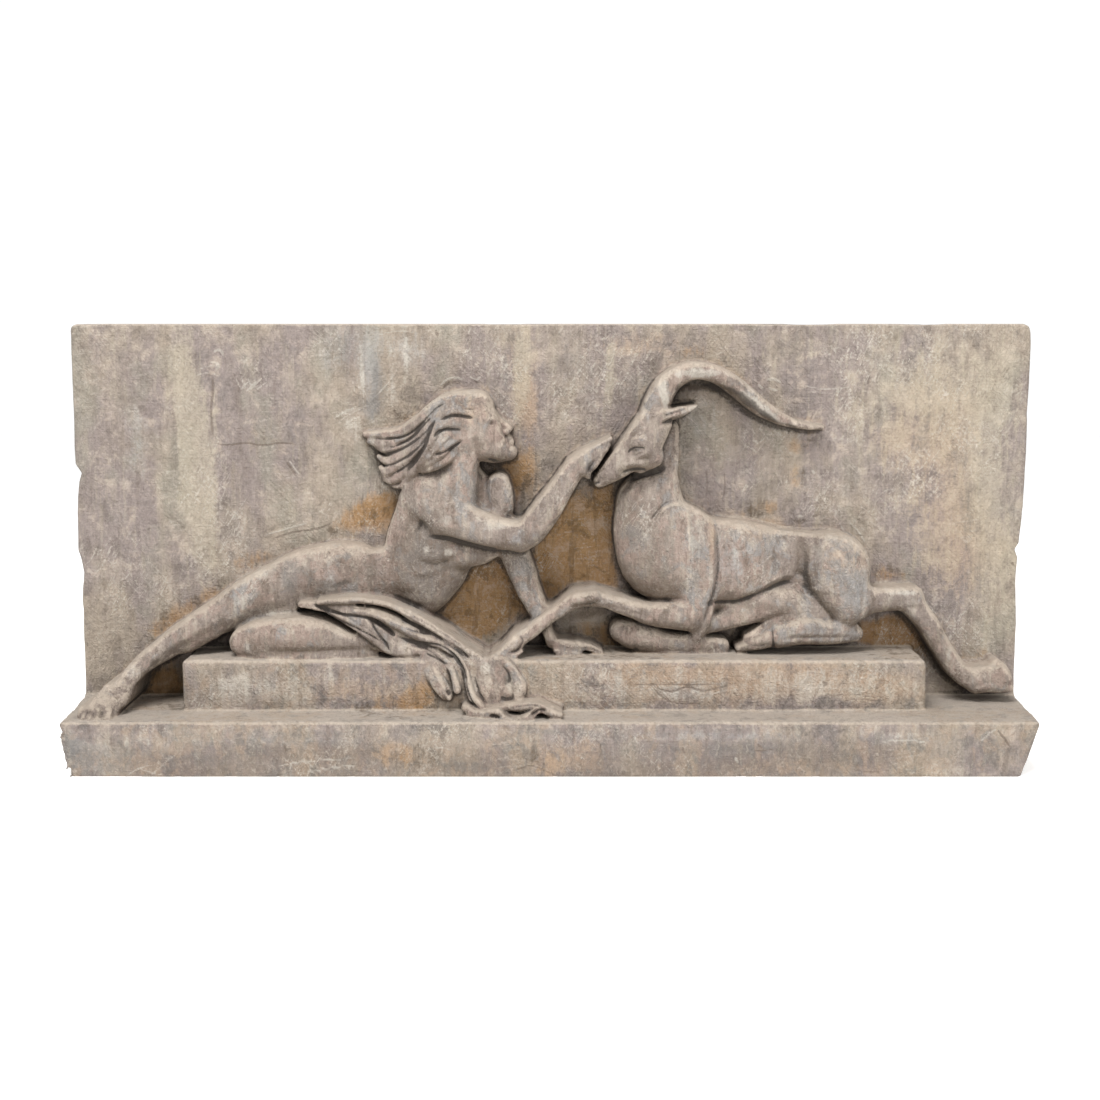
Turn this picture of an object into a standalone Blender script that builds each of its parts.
# Cast wall relief: a reclining figure with flowing hair and a cloth, reaching to an antelope.
# The panel, the step, the ledge and both figures are one casting that stands on its ledge.
# Axes: +X to the right seen from the front, -Y towards the viewer, +Z up, origin under the middle.
import math

import bmesh
import bpy
import numpy as np
from mathutils import Matrix, Vector

# Sizes of the slab, in metres
PANEL_WIDTH = 1.5
PANEL_HEIGHT = 0.675
PANEL_THICKNESS = 0.05
PANEL_EDGE_ROUNDING = 0.005
LEDGE_WIDTH_AT_BACK = 1.494
LEDGE_WIDTH_AT_FRONT = 1.474
LEDGE_HEIGHT = 0.084
LEDGE_REACH = 0.182
LEDGE_EDGE_ROUNDING = 0.006
LEDGE_UNDERCUT_LEFT = 0.010
LEDGE_UNDERCUT_RIGHT = 0.026
STEP_WIDTH = 1.145
STEP_CENTRE = 0.0055
STEP_HEIGHT = 0.079
STEP_REACH = 0.108
STEP_EDGE_ROUNDING = 0.008
STEP_ROOT = 0.02

# Sizes of the figures, in metres
GROUP_LENGTH = 1.41
HEAD_HEIGHT = 0.122
HEAD_TILT = 30.0
ROOT_DEPTH = 0.012

# Fineness of the figures' facets
GRAIN = 0.0055
FACET_SHARE = 0.088

# The photograph's view, from which the figures' places were read: where it was taken from, in
# metres from the middle, from the panel's face and from the ground, how far it looks down in
# radians, and its focal length and middle in pixels
EYE_ACROSS = -0.0009
EYE_DISTANCE = 2.561
EYE_HEIGHT = 0.6673
LOOK_DOWN = 0.135
FOCAL_PIXELS = 1628.6
PICTURE_MIDDLE = 550
# Seen from above, a level form shows part of its top: how much of that its middle drops by, and
# the most that it drops as a share of its radius
TOP_SHOWN = 0.5
LARGEST_DROP = 0.35

# The sizes that the photograph shows, in metres: the figures keep their place against them
READ_GROUP_LENGTH = 1.41
READ_STEP_TOP = 0.163
READ_STEP_HEIGHT = 0.079
READ_STEP_REACH = 0.108
READ_LEDGE_REACH = 0.182

FACE_Y = (LEDGE_REACH - PANEL_THICKNESS) / 2
STEP_TOP = LEDGE_HEIGHT + STEP_HEIGHT
GROWTH = GROUP_LENGTH / READ_GROUP_LENGTH
PIXEL_SIZE = EYE_DISTANCE / FOCAL_PIXELS

# Where the panel's sides have lost material: share of the height, loss in metres
LEFT_LOSSES = [
    (0.0, 0.003), (0.36, 0.003), (0.42, 0.0055), (0.455, 0.003), (0.475, 0.0), (0.56, 0.0),
    (0.60, 0.002), (0.635, 0.004), (0.655, 0.007), (0.675, 0.0), (1.0, 0.0),
]
RIGHT_LOSSES = [
    (0.0, 0.002), (0.20, 0.004), (0.30, 0.004), (0.40, 0.006), (0.455, 0.005), (0.475, 0.008),
    (0.49, 0.004), (0.55, 0.002), (0.64, 0.0), (1.0, 0.0),
]

# A form is a name, how far its front bulges as a share of its radius, its blend and its points.
# A point is a pixel across and down the photograph, how many millimetres out from the panel's face
# it lies, and its radius in pixels. The blend is in pixels too.
ANTELOPE = [
    ("far foreleg", 0.8, 5, [(622, 628, 40, 14), (640, 634, 46, 17), (665, 640, 50, 13.5),
         (695, 642, 50, 12.5), (722, 643, 46, 11)]),
    ("far hind leg", 0.8, 5, [(855, 631, 45, 11), (830, 630, 55, 15), (800, 628, 58, 17),
         (778, 634, 60, 14)]),
    ("far hind hoof", 0.8, 4, [(778, 632, 58, 14), (757, 640, 60, 10.5), (738, 647, 57, 6)]),
    ("flank fold", 0.6, 6, [(806, 596, 42, 9), (780, 600, 48, 13), (750, 611, 50, 13), (722, 620, 50, 11),
         (700, 626, 50, 8)]),
    ("neck", 0.55, 9, [(668, 430, 36, 11), (662, 452, 38, 16.5), (656, 478, 40, 21), (648, 500, 40, 27)]),
    ("chest", 0.5, 14, [(650, 508, 38, 34), (655, 530, 38, 42), (666, 550, 38, 50)]),
    ("barrel", 0.5, 14, [(672, 552, 36, 47), (705, 561, 36, 47), (740, 561, 34, 43), (775, 555, 30, 29),
         (800, 553, 30, 24), (825, 560, 34, 28)]),
    ("haunch", 0.6, 10, [(836, 566, 40, 34), (842, 588, 48, 27), (850, 606, 54, 18)]),
    ("thigh", 0.7, 12, [(850, 603, 48, 15), (880, 598, 44, 14.5), (912, 596, 40, 14)]),
    ("shank", 0.75, 5, [(912, 602, 40, 13.5), (928, 621, 42, 12), (940, 642, 44, 11.5), (953, 661, 46, 12),
         (965, 674, 50, 12.5), (978, 680, 52, 12.5)]),
    ("hind hoof", 0.7, 5, [(976, 680, 52, 12.5), (990, 681, 54, 11.5), (1002, 683, 54, 10),
         (1011, 687, 54, 5)]),
    ("dew claw", 0.8, 8, [(997, 662, 38, 6.5), (1002, 669, 44, 8.5), (1007, 678, 48, 8.5)]),
    ("head", 0.7, 4, [(600, 480, 66, 8.5), (611, 470, 70, 12.5), (624, 459, 74, 16.5), (640, 445, 75, 20),
         (655, 421, 70, 17)]),
    ("cheek", 0.7, 6, [(640, 466, 74, 8), (652, 456, 74, 12)]),
    ("horn", 0.8, 3, [(656, 410, 60, 14), (660, 398, 64, 12.3), (666, 387, 66, 11.5),
         (676, 377.5, 66, 10.5), (690, 371, 62, 9.8), (705, 371, 58, 9.3), (720, 375.5, 54, 9.6),
         (737, 387, 50, 10), (757, 403, 44, 9.4), (778, 417, 36, 6.8), (800, 424.5, 28, 4.2),
         (822, 427, 18, 1.8)]),
    ("ear", 0.7, 2, [(654, 421, 74, 4.5), (664, 416, 78, 6.5), (680, 411, 78, 6), (697, 405, 72, 2)]),
    ("shoulder band", 0.55, 9, [(690, 525, 40, 17), (696, 555, 48, 17), (699, 592, 58, 16),
         (699, 618, 64, 11.5), (697, 636, 62, 4.5)]),
    ("near foreleg", 0.8, 3, [(690, 612, 60, 19), (655, 611, 66, 15.5), (630, 605, 69, 13),
         (605, 597, 72, 12), (588, 595, 74, 12), (572, 598, 76, 12), (560, 606, 78, 11),
         (545, 616, 80, 10.5), (528, 629, 84, 10.5), (512, 641, 88, 11)]),
    ("near forehoof", 0.8, 3, [(516, 638, 90, 10), (505, 648, 92, 9.5), (497, 653, 94, 6)]),
    ("hoof tip", 0.8, 2, [(506, 654, 98, 2.5), (514, 655, 98, 3), (522, 651, 96, 2)]),
    ("inner thigh", 0.6, 6, [(745, 612, 40, 11), (775, 602, 44, 15), (800, 604, 46, 16),
         (820, 612, 44, 13)]),
    ("hoof body", 0.6, 8, [(974, 670, 48, 10), (987, 670, 48, 11), (999, 671, 48, 10)]),
    ("withers", 0.6, 6, [(672, 520, 40, 13), (688, 521, 42, 13), (704, 526, 42, 12)]),
    ("flank web", 0.5, 6, [(786, 585, 36, 8), (800, 584, 38, 9)]),
    ("far hock", 0.6, 5, [(748, 637, 50, 9), (768, 627, 50, 11), (788, 619, 50, 10)]),
]
PERSON = [
    ("far shoulder", 0.8, 5, [(499, 483, 38, 10.5), (501, 495, 42, 12), (502, 508, 42, 12)]),
    ("far arm", 0.75, 5, [(513, 546, 34, 15), (519, 562, 38, 14.5), (528, 585, 42, 13), (537, 604, 48, 12),
         (545, 619, 54, 10)]),
    ("far wrist", 0.9, 4, [(543, 616, 58, 8), (548, 628, 62, 6.5), (552, 638, 64, 7)]),
    ("far hand", 0.6, 3, [(552, 640, 62, 8), (565, 643, 64, 9), (580, 645, 62, 7.5)]),
    ("far fingers", 0.6, 2, [(578, 643, 62, 6), (590, 646, 60, 5), (601, 651, 58, 3)]),
    ("neck", 0.9, 8, [(466, 444, 46, 14), (464, 460, 46, 14.5), (461, 476, 46, 16), (456, 490, 46, 20)]),
    ("trunk", 0.48, 16, [(441, 498, 28, 35), (434, 525, 28, 42), (427, 556, 26, 44), (417, 580, 26, 36),
         (404, 600, 24, 25)]),
    ("rib cage", 0.4, 16, [(424, 548, 46, 20), (421, 567, 44, 20)]),
    ("breast", 0.8, 7, [(441, 551, 46, 14), (449, 554, 44, 12)]),
    ("far breast", 0.75, 8, [(466, 553, 46, 15), (482, 554, 44, 10), (494, 552.5, 42, 5),
         (499, 551, 40, 2)]),
    ("belly", 0.5, 14, [(424, 584, 36, 17), (436, 575, 34, 14)]),
    ("long leg", 0.62, 14, [(368, 574, 30, 28.5), (350, 569.5, 30, 29.5), (330, 570.5, 32, 30),
         (300, 576, 34, 27.5), (280, 583, 38, 25.5), (262, 589.5, 42, 23), (243, 598, 46, 20.5),
         (226, 608, 50, 18.5), (205, 620, 56, 18), (182, 634, 62, 16), (162, 647, 70, 13.5),
         (146, 657, 80, 12.5), (134, 667, 92, 11.5), (124, 679, 104, 11.5), (117, 689, 112, 12)]),
    ("foot", 0.75, 8, [(118, 687, 110, 12), (112, 696, 126, 14), (105, 705, 140, 14.5)]),
    ("heel", 0.8, 5, [(121, 691, 112, 9), (118, 701, 124, 8)]),
    ("toe 1", 0.9, 1.4, [(106, 711, 150, 6), (104.5, 717, 162, 5.6)]),
    ("toe 3", 0.9, 1.6, [(90.5, 711.5, 152, 4.2), (88.5, 718.5, 166, 3.8)]),
    ("toe 5", 0.9, 1.6, [(80.5, 708.5, 146, 3.5), (78, 714, 158, 3.2)]),
    ("folded leg", 0.55, 5, [(244, 638, 80, 20), (262, 636, 84, 25.5), (285, 634.5, 86, 28),
         (315, 636, 86, 27), (345, 642, 82, 21), (372, 648, 76, 12)]),
    ("back of shoulder", 0.6, 14, [(424, 494, 40, 21), (446, 508, 50, 22)]),
    ("deltoid", 0.5, 14, [(432, 500, 54, 16), (448, 512, 62, 16)]),
    ("upper arm", 0.7, 8, [(440, 507, 52, 22), (460, 520, 62, 21), (490, 529, 72, 20.5),
         (518, 533, 78, 17.5)]),
    ("forearm", 0.75, 6, [(520, 537, 78, 15.5), (530, 529, 80, 16.5), (545, 510, 82, 15.5),
         (560, 488, 82, 13), (574, 467, 82, 11)]),
    ("palm", 0.5, 4, [(574, 467, 80, 11), (584, 461, 78, 13.5), (594, 453, 76, 10.5), (604, 446, 74, 6)]),
    ("finger 1", 0.7, 3, [(586, 452, 82, 5), (598, 445, 80, 4.6), (610, 438, 76, 3)]),
    ("thumb", 0.9, 3, [(580, 468, 88, 6), (587, 471, 86, 5), (589, 476, 80, 3.4)]),
    ("collar", 0.5, 9, [(474, 484, 24, 14), (482, 500, 26, 15), (494, 516, 30, 11)]),
    ("calf", 0.6, 10, [(224, 617, 52, 11), (204, 630, 56, 11), (186, 642, 60, 9)]),
    ("foot side", 0.7, 8, [(106, 688, 116, 8), (98, 699, 134, 10.5), (91, 707, 146, 10)]),
    ("leg web", 0.5, 6, [(226, 624, 46, 7), (248, 615, 46, 9), (270, 609, 46, 9), (292, 604, 46, 8)]),
]
HAIR = [
    ("hair cap", 0.75, 5, [(487, 404, 40, 8), (478, 402, 46, 13), (464, 406, 52, 17), (449, 413, 54, 19.5),
         (438, 428, 54, 21), (438, 446, 50, 17)]),
    ("hair mass", 0.6, 5, [(430, 424, 50, 17), (412, 434, 44, 15), (396, 441, 36, 12), (382, 440, 28, 9),
         (371, 436, 22, 4.5)]),
    ("hair mass low", 0.6, 5, [(428, 446, 54, 16), (412, 458, 46, 14), (399, 467, 38, 12),
         (389, 474, 31, 8)]),
    ("nape", 0.6, 4, [(446, 452, 50, 16), (432, 462, 46, 9)]),
    ("lock 1", 0.9, 1.6, [(462, 399, 60, 6), (445, 400, 62, 7), (429, 410, 60, 7), (414, 424, 54, 6.5),
         (397, 432, 40.2, 6), (380, 434, 30, 5), (366, 434, 21.6, 3.4)]),
    ("lock 2", 0.9, 1.6, [(440, 409, 64, 6), (424, 421, 62, 6.5), (410, 433, 48, 6), (396, 441, 39.6, 5.5),
         (380, 443, 30, 4.2), (369, 441, 23.4, 2.6)]),
    ("lock 3", 0.9, 2, [(440, 416, 68, 6.5), (425, 430, 64, 7), (411, 441, 48, 6), (397, 447, 41, 5.5),
         (386, 449, 34, 4.5), (377, 446, 26, 2.6)]),
    ("lock 4", 0.9, 2, [(436, 423, 70, 6.5), (423, 439, 66, 7), (409, 451, 49, 6.2), (396, 458, 40, 5.4),
         (386, 460, 33, 4.2), (379, 456, 27, 2.4)]),
    ("lock 5", 0.9, 2, [(430, 432, 70, 6.5), (420, 449, 65, 7), (409, 461, 49, 6.5), (397, 468, 41, 6),
         (387, 471, 35, 4.6), (381, 467, 29, 2.6)]),
    ("lock 5b", 0.9, 2, [(420, 453, 62, 6), (411, 465, 50, 6), (402, 475, 43, 5.4), (392, 480, 38, 4.6),
         (385, 479, 32, 2.6)]),
    ("lock 6", 0.9, 1.6, [(470, 421, 58, 5), (452, 420, 66, 6.5), (439, 427, 70, 6), (430, 441, 70, 5.5),
         (422, 455, 64, 4)]),
    ("lock 8", 0.9, 1.6, [(462, 438, 58, 5), (450, 442, 66, 6), (440, 453, 68, 5.5), (429, 462, 62, 4.5),
         (418, 467, 54, 3.4)]),
    ("lock 9", 0.9, 1.6, [(460, 448, 56, 5), (451, 455, 62, 5.5), (441, 462, 64, 5), (431, 467, 60, 4.4),
         (422, 470, 54, 3.4)]),
    ("lock 10", 0.9, 1.6, [(484, 405, 52, 5.5), (470, 406, 60, 6), (456, 409, 66, 6.5), (446, 415, 68, 6)]),
]
CLOTH = [
    ("band", 0.32, 5, [(300, 603, 70, 5), (316, 604, 80, 6), (338, 607, 86, 9), (358, 611, 88, 13),
         (380, 619, 88, 18), (402, 630, 86, 21), (424, 637, 86, 20), (447, 647, 88, 20),
         (468, 660, 92, 20)]),
    ("flap", 0.35, 6, [(470, 662, 94, 20), (490, 673, 104, 24), (499, 688, 110, 24), (494, 702, 120, 17)]),
    ("hanging", 0.45, 5, [(428, 658, 98, 8), (436, 670, 110, 11), (443, 682, 116, 11.5),
         (449, 693, 120, 9)]),
    ("hanging tips", 0.8, 2, [(446, 690, 122, 5), (450, 698, 126, 3)]),
    ("upper roll", 0.8, 3, [(318, 601, 88, 3.5), (341, 599, 92, 4.5), (362, 599, 92, 4.5),
         (383, 602, 92, 5), (400, 608, 92, 6), (416, 616, 92, 6.5), (432, 626, 92, 6.5), (450, 637, 94, 6),
         (466, 648, 98, 5.5), (480, 656, 104, 5)]),
    ("middle roll", 0.8, 3, [(372, 612, 94, 5), (390, 619, 96, 6), (408, 629, 96, 6), (426, 638, 96, 5.5),
         (443, 644, 98, 5.5), (456, 653, 104, 5.5), (466, 667, 112, 5.5), (470, 682, 120, 5.5),
         (474, 696, 128, 5.5), (482, 706, 138, 5)]),
    ("under roll", 0.8, 3, [(343, 613, 90, 4), (358, 622, 92, 5), (374, 630, 92, 5), (388, 641, 92, 6),
         (402, 648, 92, 6.5), (420, 649, 94, 6), (436, 653, 98, 6), (448, 662, 108, 6),
         (455, 675, 118, 5.5), (459, 690, 126, 5)]),
    ("flap edge", 0.7, 4, [(493, 656, 102, 5.5), (507, 661, 110, 7), (517, 673, 118, 7.5),
         (520, 688, 122, 7), (516, 700, 130, 6)]),
    ("hem left", 0.8, 3, [(466, 707, 138, 5), (476, 712, 148, 5), (488, 712, 156, 5), (498, 711, 160, 5)]),
    ("hem dip", 0.8, 4, [(499, 712, 160, 5.5), (507, 719, 168, 6), (517, 720, 170, 6), (528, 715, 168, 6),
         (537, 708, 162, 5.5)]),
    ("tail", 0.8, 4, [(506, 705, 142, 6), (518, 705, 150, 7), (530, 704, 155, 6.5), (541, 706, 158, 6.5),
         (552, 711, 164, 6), (561, 714, 168, 3.4)]),
    ("cloth fill", 0.4, 5, [(362, 634, 80, 7), (376, 641, 84, 9), (392, 646, 88, 9), (410, 649, 92, 8)]),
    ("lower roll", 0.8, 3, [(330, 611, 88, 3.5), (349, 621, 90, 4.5), (365, 631, 92, 5),
         (379, 642, 92, 5.5), (391, 650, 94, 5), (410, 652, 96, 4.5)]),
]

# The head's place is across, up and out in metres, as read. Its forms are in its own frame, in
# hundredths of its height: forwards, up, out of the neck's plane, radius
HEAD_PLACE = (-0.118, 0.505, 0.046)
HEAD = [
    ("skull", 0.62, 7, [(-6, 12, 0, 36), (2, 11, 0, 36)]),
    ("forehead", 0.8, 6, [(14, 18, 0, 23), (16, 6, 0, 21)]),
    ("cheek", 0.8, 7, [(15, -10, 3, 20), (13, -22, 2, 19)]),
    ("jaw", 0.85, 6, [(-2, -18, 0, 15), (10, -30, 0, 14), (22, -38, -2, 11)]),
    ("chin", 0.9, 4, [(27, -42, -4, 8), (28, -43, -5, 8)]),
    ("nose", 0.9, 4, [(33, 6, -8, 4), (38, -6, -8, 4), (42, -15, -8, 5)]),
    ("mouth", 0.85, 3, [(32, -25, -8, 6), (31, -30, -8, 7)]),
    ("lips", 0.9, 2, [(36, -25, -8, 4), (35, -31, -8, 4)]),
]


def fitted(x, z, out):
    # a place read off the photograph, moved along with the sizes of the group, the step and the ledge
    if z < READ_STEP_TOP:
        height = STEP_TOP + (z - READ_STEP_TOP) * STEP_HEIGHT / READ_STEP_HEIGHT
    else:
        height = STEP_TOP + (z - READ_STEP_TOP) * GROWTH
    depth = np.interp(out, (0, READ_STEP_REACH, READ_LEDGE_REACH), (0, STEP_REACH, LEDGE_REACH))
    return x * GROWTH, height, float(depth)


def seen_at(u, v, out):
    # where the line of sight through a pixel stands that far out from the panel's face, and how far away
    right, up = (u - PICTURE_MIDDLE) / FOCAL_PIXELS, (PICTURE_MIDDLE - v) / FOCAL_PIXELS
    ahead = math.cos(LOOK_DOWN) + math.sin(LOOK_DOWN) * up
    rise = math.cos(LOOK_DOWN) * up - math.sin(LOOK_DOWN)
    away = (EYE_DISTANCE - out) / ahead
    return EYE_ACROSS + right * away, EYE_HEIGHT + rise * away, away


def body_points(points):
    # seen from above, a level form shows some of its top, so its middle lies lower than the pixels say
    placed = []
    for n, (u, v, out, radius) in enumerate(points):
        before, after = points[max(n - 1, 0)], points[min(n + 1, len(points) - 1)]
        run_across, run_down = after[0] - before[0], after[1] - before[1]
        length = math.hypot(run_across, run_down) or 1
        out = out / 1000
        x, z, away = seen_at(u, v, out)
        wide = radius * away / FOCAL_PIXELS
        level = abs(run_across) / length
        lean = run_down / length * (1 if run_across >= 0 else -1)
        slope = (EYE_HEIGHT - z) / (EYE_DISTANCE - out)
        drop = min(TOP_SHOWN * out * slope * level, LARGEST_DROP * wide)
        x, z, out = fitted(x - drop * lean, z - drop * level, out)
        placed.append((x, z, out, (wide - drop) * GROWTH))
    return placed


def head_points(points):
    turn = math.radians(HEAD_TILT)
    x0, z0, out0 = fitted(*HEAD_PLACE)
    unit = HEAD_HEIGHT / 100
    placed = []
    for forward, up, out, radius in points:
        x = x0 + (forward * math.cos(turn) - up * math.sin(turn)) * unit
        z = z0 + (forward * math.sin(turn) + up * math.cos(turn)) * unit
        placed.append((x, z, out0 + out * unit, radius * unit))
    return placed


def smooth_run(points):
    # steps of half a radius along a smooth curve through the points
    known = np.array(points)
    if len(known) == 1:
        known = np.vstack([known, known + 1e-5])
    ends = np.vstack([2 * known[0] - known[1], known, 2 * known[-1] - known[-2]])
    run = []
    for a, b, c, d in zip(ends[:-3], ends[1:-2], ends[2:-1], ends[3:]):
        reach = np.linalg.norm((c - b)[:3])
        steps = max(2, math.ceil(reach / (0.5 * max(min(b[3], c[3]), 0.004))))
        for t in np.arange(steps) / steps:
            bend = (2 * a - 5 * b + 4 * c - d) * t**2 + (3 * b - a - 3 * c + d) * t**3
            run.append((2 * b + (c - a) * t + bend) / 2)
    run.append(known[-1])
    return np.array(run)


def all_forms():
    forms = []
    for groups, place in (((ANTELOPE, PERSON, HAIR, CLOTH), body_points), ((HEAD,), head_points)):
        for group in groups:
            for name, bulge, blend, points in group:
                forms.append((name, bulge, blend * PIXEL_SIZE * GROWTH, smooth_run(place(points))))
    return forms


def form_distance(spots, bulge, run):
    # signed distance to one form, which keeps its outline from its middle back to the panel
    best = np.full(len(spots), 1.0)
    across_spots = spots[:, [0, 2]]
    out_spots = FACE_Y - spots[:, 1]
    for start, end in zip(run[:-1], run[1:]):
        step = (end - start)[:2]
        along = (across_spots - start[:2]) @ step / (step @ step + 1e-12)
        along = np.clip(along, 0, 1)
        side = np.hypot(*(across_spots - start[:2] - along[:, None] * step).T)
        radius = start[3] + along * (end[3] - start[3])
        middle = start[2] + along * (end[2] - start[2])
        front = np.maximum(out_spots - middle, 0) / bulge
        length = np.hypot(side, front) + 1e-9
        steepness = np.hypot(side, front / bulge) / length
        best = np.minimum(best, (length - radius) / np.maximum(steepness, 0.5))
    return best


def figures_distance(spots, forms):
    total = np.full(len(spots), 1.0)
    for name, bulge, blend, run in forms:
        reach = run[:, 3].max() + 0.03
        low, high = run[:, :2].min(axis=0) - reach, run[:, :2].max(axis=0) + reach
        near = (spots[:, 0] > low[0]) & (spots[:, 0] < high[0])
        near &= (spots[:, 2] > low[1]) & (spots[:, 2] < high[1])
        if not near.any():
            continue
        single = form_distance(spots[near], bulge, run)
        meet = np.maximum(blend - np.abs(total[near] - single), 0) / blend
        total[near] = np.minimum(total[near], single) - meet**2 * blend / 4
    return total


def new_object(name, mesh, collection):
    made = bpy.data.objects.new(name, mesh)
    collection.objects.link(made)
    return made


def settled(thing):
    # the object's mesh with its modifiers taken in
    bpy.context.view_layer.update()
    seen = thing.evaluated_get(bpy.context.evaluated_depsgraph_get())
    mesh = bpy.data.meshes.new_from_object(seen)
    thing.modifiers.clear()
    thing.data = mesh
    return mesh


def peg(shape, x, z, out, radius, bulge):
    # a round-nosed peg from the panel's inside to the form's front
    made = bmesh.ops.create_icosphere(shape, subdivisions=2, radius=1.0)
    for vertex in made["verts"]:
        spot = vertex.co.copy()
        if spot.y > 0:
            ring = math.hypot(spot.x, spot.z)
            if ring > 0.05:
                spot.x, spot.z = spot.x / ring, spot.z / ring
            spot.y *= out + ROOT_DEPTH
        else:
            spot.y *= radius * bulge
        vertex.co = Vector((x + spot.x * radius, FACE_Y - out + spot.y, z + spot.z * radius))


def rough_figures(forms, collection):
    # pegs along every form, under one skin
    gathered = bmesh.new()
    for name, bulge, blend, run in forms:
        shape = bmesh.new()
        for x, z, out, radius in run:
            peg(shape, x, z, out, radius, bulge)
        single = bpy.data.meshes.new(name)
        shape.to_mesh(single)
        shape.free()
        gathered.from_mesh(single)
        bpy.data.meshes.remove(single)
    mesh = bpy.data.meshes.new("figures")
    gathered.to_mesh(mesh)
    gathered.free()
    figures = new_object("figures", mesh, collection)
    skin_over(figures)
    return figures


def skin_over(thing):
    skin = thing.modifiers.new("skin", "REMESH")
    skin.mode = "VOXEL"
    skin.voxel_size = GRAIN
    settled(thing)


def settle_onto(mesh, forms, passes, longest):
    # moves the skin's points onto the blended forms, in small steps
    count = len(mesh.vertices)
    spots = np.empty(count * 3)
    facing = np.empty(count * 3)
    mesh.vertices.foreach_get("co", spots)
    spots = spots.reshape(-1, 3)
    for turn in range(passes):
        mesh.vertex_normals.foreach_get("vector", facing)
        miss = np.clip(figures_distance(spots, forms), -longest, longest)
        miss[spots[:, 1] > FACE_Y + 0.25 * ROOT_DEPTH] = 0.0
        spots = spots - facing.reshape(-1, 3) * miss[:, None] * 0.6
        mesh.vertices.foreach_set("co", spots.ravel())
        mesh.update()


def carve(figures, forms):
    settle_onto(figures.data, forms, 5, 0.003)
    skin_over(figures)
    settle_onto(figures.data, forms, 3, 0.001)
    ease = figures.modifiers.new("ease", "SMOOTH")
    ease.factor = 0.3
    ease.iterations = 1
    thin = figures.modifiers.new("facets", "DECIMATE")
    thin.ratio = FACET_SHARE
    settled(figures)


def side_edge(side, losses):
    return [(side * (PANEL_WIDTH / 2 - loss), share * PANEL_HEIGHT) for share, loss in losses]


def make_panel(collection):
    # a flat outline given its thickness, with its front and its sides' edges worn round
    outline = bpy.data.curves.new("panel outline", "CURVE")
    outline.dimensions = "2D"
    outline.fill_mode = "BOTH"
    outline.extrude = PANEL_THICKNESS / 2
    corners = side_edge(1, RIGHT_LOSSES) + side_edge(-1, LEFT_LOSSES)[::-1]
    spline = outline.splines.new("POLY")
    spline.points.add(len(corners) - 1)
    for point, (x, z) in zip(spline.points, corners):
        point.co = (x, z, 0, 1)
    spline.use_cyclic_u = True
    drawn = new_object("panel outline", outline, collection)
    bpy.context.view_layer.update()
    seen = drawn.evaluated_get(bpy.context.evaluated_depsgraph_get())
    mesh = bpy.data.meshes.new_from_object(seen)
    bpy.data.objects.remove(drawn)
    shape = bmesh.new()
    shape.from_mesh(mesh)
    bmesh.ops.remove_doubles(shape, verts=shape.verts, dist=0.0001)
    bmesh.ops.dissolve_limit(shape, angle_limit=0.01, verts=shape.verts, edges=shape.edges)
    stand = Matrix.Translation((0, FACE_Y + PANEL_THICKNESS / 2, 0)) @ Matrix.Rotation(math.pi / 2, 4, "X")
    bmesh.ops.transform(shape, matrix=stand, verts=shape.verts)
    rim = [e for e in shape.edges if all(v.co.y < FACE_Y + 0.001 and v.co.z > 0.001 for v in e.verts)]
    top = [e for e in shape.edges if all(v.co.z > PANEL_HEIGHT - 0.001 for v in e.verts) and e not in rim]
    bmesh.ops.bevel(shape, geom=rim + top, offset=PANEL_EDGE_ROUNDING, offset_type="OFFSET", segments=2,
                    profile=0.5, affect="EDGES", material=-1, clamp_overlap=True)
    bmesh.ops.recalc_face_normals(shape, faces=shape.faces)
    shape.to_mesh(mesh)
    shape.free()
    return new_object("wall_relief", mesh, collection)


def make_block(name, low, high, rounding, collection, reshape=None):
    # a block between two corners, its upper and front edges rounded
    shape = bmesh.new()
    bmesh.ops.create_cube(shape, size=1.0)
    for vertex in shape.verts:
        vertex.co = Vector([high[i] if vertex.co[i] > 0 else low[i] for i in range(3)])
    if reshape:
        for vertex in shape.verts:
            reshape(vertex)
    edges = []
    for edge in shape.edges:
        middle = (edge.verts[0].co + edge.verts[1].co) / 2
        at_top = abs(middle.z - high[2]) < 1e-6 and middle.y < high[1] - 1e-6
        at_front = abs(middle.y - low[1]) < 1e-6
        if at_top or at_front:
            edges.append(edge)
    bmesh.ops.bevel(shape, geom=edges, offset=rounding, offset_type="OFFSET", segments=3,
                    profile=0.5, affect="EDGES", material=-1, clamp_overlap=True)
    mesh = bpy.data.meshes.new(name)
    shape.to_mesh(mesh)
    shape.free()
    return new_object(name, mesh, collection)


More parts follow.
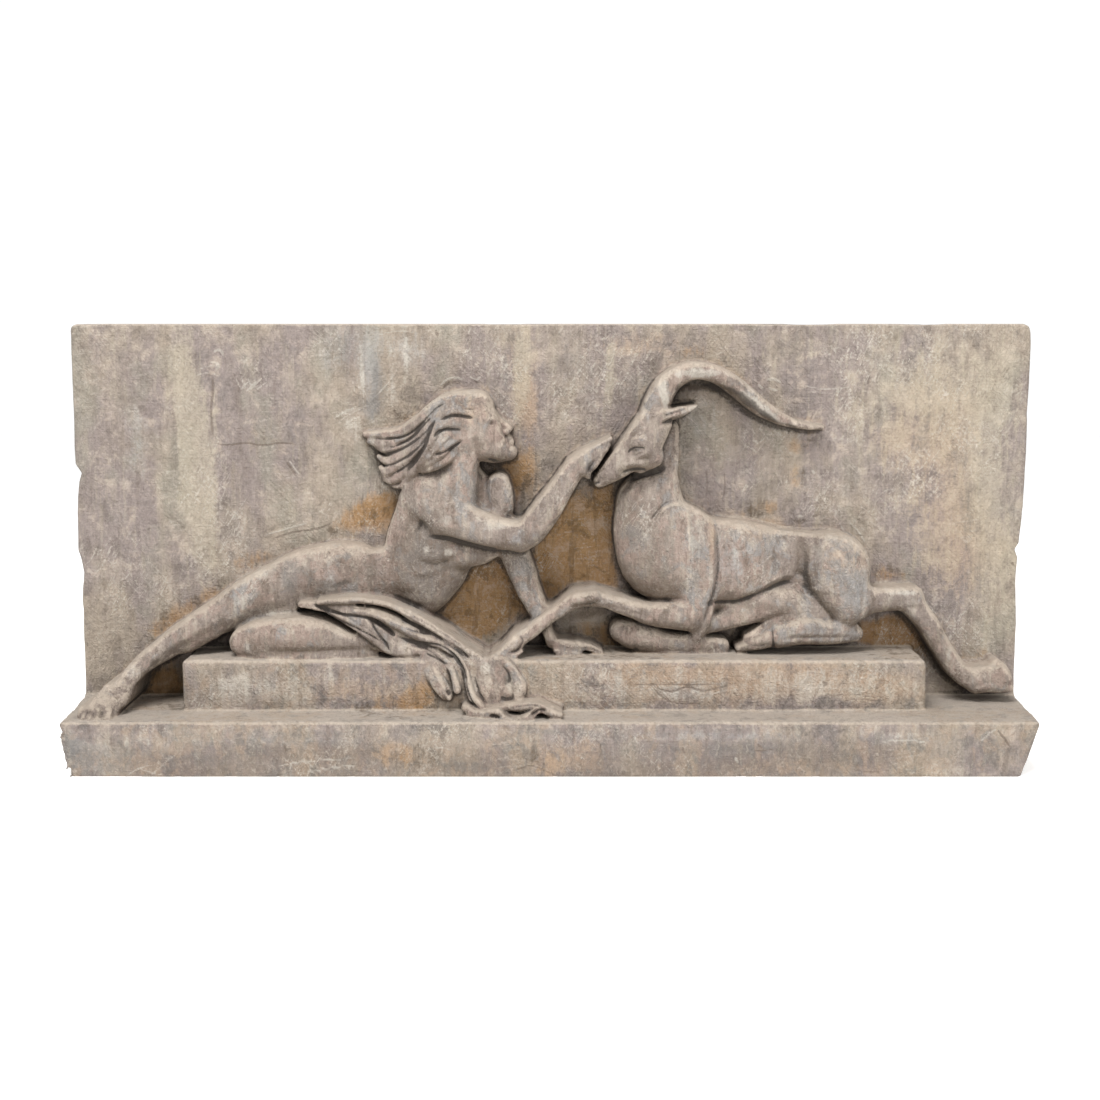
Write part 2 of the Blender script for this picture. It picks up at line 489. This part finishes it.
def taper_ledge(vertex):
    # the ledge narrows towards its front, and its ends lean in towards the underside
    side = 1 if vertex.co.x > 0 else -1
    at_front = vertex.co.y < 0
    half = (LEDGE_WIDTH_AT_FRONT if at_front else LEDGE_WIDTH_AT_BACK) / 2
    if vertex.co.z < LEDGE_HEIGHT / 2 and at_front:
        half -= LEDGE_UNDERCUT_RIGHT if side > 0 else LEDGE_UNDERCUT_LEFT
    vertex.co.x = side * half


def stone_material():
    material = bpy.data.materials.new("patinated cast plaster")
    material.use_nodes = True
    shader = material.node_tree.nodes["Principled BSDF"]
    shader.inputs["Base Color"].default_value = (0.42, 0.34, 0.27, 1)
    shader.inputs["Roughness"].default_value = 0.82
    shader.inputs["Metallic"].default_value = 0.0
    material.diffuse_color = (0.42, 0.34, 0.27, 1)
    return material


def build():
    for old in list(bpy.data.objects):
        bpy.data.objects.remove(old, do_unlink=True)
    parts = bpy.data.collections.new("wall_relief")
    guides = bpy.data.collections.new("joined_shapes")
    bpy.context.scene.collection.children.link(parts)
    bpy.context.scene.collection.children.link(guides)

    relief = make_panel(parts)
    overlap = PANEL_THICKNESS / 2
    ledge = make_block("ledge", (-1, FACE_Y - LEDGE_REACH, 0), (1, FACE_Y + overlap, LEDGE_HEIGHT),
                       LEDGE_EDGE_ROUNDING, guides, taper_ledge)
    left, right = STEP_CENTRE - STEP_WIDTH / 2, STEP_CENTRE + STEP_WIDTH / 2
    step = make_block("step", (left, FACE_Y - STEP_REACH, LEDGE_HEIGHT - STEP_ROOT),
                      (right, FACE_Y + overlap, STEP_TOP), STEP_EDGE_ROUNDING, guides)
    forms = all_forms()
    figures = rough_figures(forms, guides)
    carve(figures, forms)

    for joined in (ledge, step, figures):
        joined.hide_render = True
        joined.display_type = "WIRE"
        join = relief.modifiers.new("join " + joined.name, "BOOLEAN")
        join.operation = "UNION"
        join.solver = "EXACT"
        join.object = joined
    relief.data.materials.append(stone_material())
    relief.data.shade_smooth()
    relief.data.set_sharp_from_angle(angle=math.radians(40))


build()
